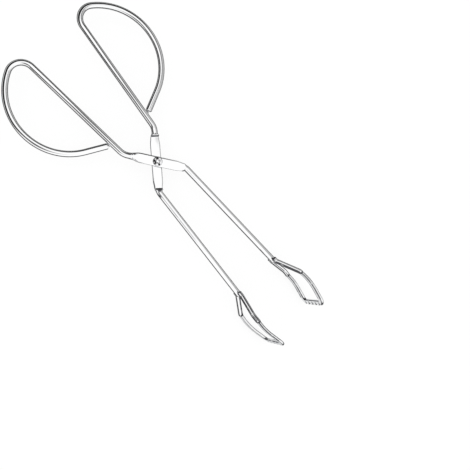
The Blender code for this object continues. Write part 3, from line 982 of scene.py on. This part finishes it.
def white_glow(tree, strength):
    """White light of this strength from the surface itself."""
    return add_node(tree, "ShaderNodeEmission", {}, {"Color": WHITE, "Strength": strength})


def between(first, second, share):
    """The first value where the share is 0, the second where it is 1."""
    return first + share * (second - first)


def empty_material(name):
    """A material without nodes but its output, with its node tree and the output's surface socket."""
    material = bpy.data.materials.new(name)
    material.use_nodes = True
    tree = material.node_tree
    tree.nodes.clear()
    return material, tree, tree.nodes.new("ShaderNodeOutputMaterial").inputs["Surface"]


def table_white(name):
    """White paper: plain white with part of the shadow on it, and dark to metal at slanting angles."""
    material, tree, surface = empty_material(name)
    paper = add_node(tree, "ShaderNodeBsdfDiffuse", {}, {"Color": TABLE_WHITE})
    metal = light_path(tree, "Glossy")
    steep = 1.0 - add_node(tree, "ShaderNodeLayerWeight", {}, {"Blend": 0.5}, "Facing")
    slanting = steep.step(*SLANT_START_SHARES) * (1.0 - steep.step(*SLANT_END_SHARES))
    white = white_glow(tree, 1.0 - metal * slanting * (1.0 - SLANT_GREY))
    seen = light_path(tree, "Camera").larger(metal).larger(light_path(tree, "Transmission"))
    share = (seen * (1.0 - SHADOW_SHARE)).larger(metal)
    connect(add_node(tree, "ShaderNodeMixShader", {}, {0: share, 1: paper, 2: white}), surface)
    return material


def tent_cloth(name):
    """Glowing white cloth, measured in shares of the tent's radius, with a grey wall and a dark board.

    The wall is the east half below its top, and ends before the claws. The board starts along a
    slanting edge, is lighter at its foot and its head, and is darker and lower in the deep north.
    Pairs of shares are where a soft step starts and ends. The board's other pairs, and its foot's
    lights, are for the west and then for the east.
    """
    material, tree, surface = empty_material(name)
    place = add_node(tree, "ShaderNodeTexCoord", {}, {}, "Object")
    east, north, height = place.scaled((1 / TENT_RADIUS,) * 3).parts()
    on_east = east.step(*EAST_SHARES)
    east_half = east.step(*EAST_HALF_SHARES)
    deep = north.step(*DEEP_SHARES)
    on_wall = east_half * (1.0 - height.step(*WALL_TOP_SHARES)) * north.step(*WALL_END_SHARES)
    claw_side = between(TENT_WHITE, WALL_GREY, on_wall)

    board = between(BOARD_GREY, BOARD_DARK, deep)
    foot = between(*FOOT_LIGHTS, on_east)
    foot_from = between(*BOARD_FEET, on_east) - deep * DEEP_FOOT_DROP
    head_from = between(*BOARD_HEADS, on_east) - deep * DEEP_HEAD_DROP
    foot_share = ((height - foot_from) / between(*BOARD_FOOT_BLURS, on_east)).step(0.0, 1.0)
    head_share = ((height - head_from) / between(*BOARD_HEAD_BLURS, on_east)).step(0.0, 1.0)
    handle_side = between(between(foot, board, foot_share), HEAD_LIGHT, head_share)

    past_edge = north - east * between(*BOARD_SLANTS, east_half) - between(*BOARD_STARTS, east_half)
    on_board = (past_edge / between(*BOARD_BLURS, east_half)).step(0.0, 1.0)
    connect(white_glow(tree, between(claw_side, handle_side, on_board)), surface)
    return material


ground = dome("table", TABLE_RADIUS, TABLE_DROP, 1, TABLE_SEGMENTS)
ground.data.materials.append(table_white("table_white"))

tent = dome("light_tent", TENT_RADIUS, 0, TENT_ROWS, TENT_SEGMENTS)
tent.data.materials.append(tent_cloth("tent_cloth"))
tent.visible_camera = False
tent.visible_diffuse = False
tent.visible_shadow = False

world = bpy.data.worlds.new("white_room")
world.use_nodes = True
world.node_tree.nodes["Background"].inputs["Color"].default_value = WHITE
world.node_tree.nodes["Background"].inputs["Strength"].default_value = TENT_FILL
bpy.context.scene.world = world

lamp = bpy.data.lights.new("overhead_softbox", "AREA")
lamp.shape = "SQUARE"
lamp.size = LAMP_SIZE
lamp.energy = LAMP_WATTS
softbox = linked_object("overhead_softbox", lamp)
softbox.location = LAMP_PLACE
softbox.rotation_euler = Vector(LAMP_PLACE).to_track_quat("Z", "Y").to_euler()
softbox.visible_glossy = False

tilt_axis = Vector((*direction(VIEW_DIRECTION_DEG + 90), 0))
to_camera = Matrix.Rotation(math.radians(VIEW_TILT_DEG), 3, tilt_axis)
to_camera = to_camera @ Matrix.Rotation(math.radians(VIEW_SPIN_DEG), 3, "Z")
from_camera = to_camera.transposed()
offset = Vector((PIVOT_LEFT_OF_CENTRE, -PIVOT_ABOVE_CENTRE, VIEW_DISTANCE))
camera = bpy.data.cameras.new("camera")
camera.lens = LENS_MM
camera.sensor_width = SENSOR_MM
viewer = linked_object("camera", camera)
viewer.matrix_world = Matrix.Translation(Vector(pivot) + from_camera @ offset) @ from_camera.to_4x4()
bpy.context.scene.camera = viewer
bpy.context.scene.view_settings.view_transform = "Standard"
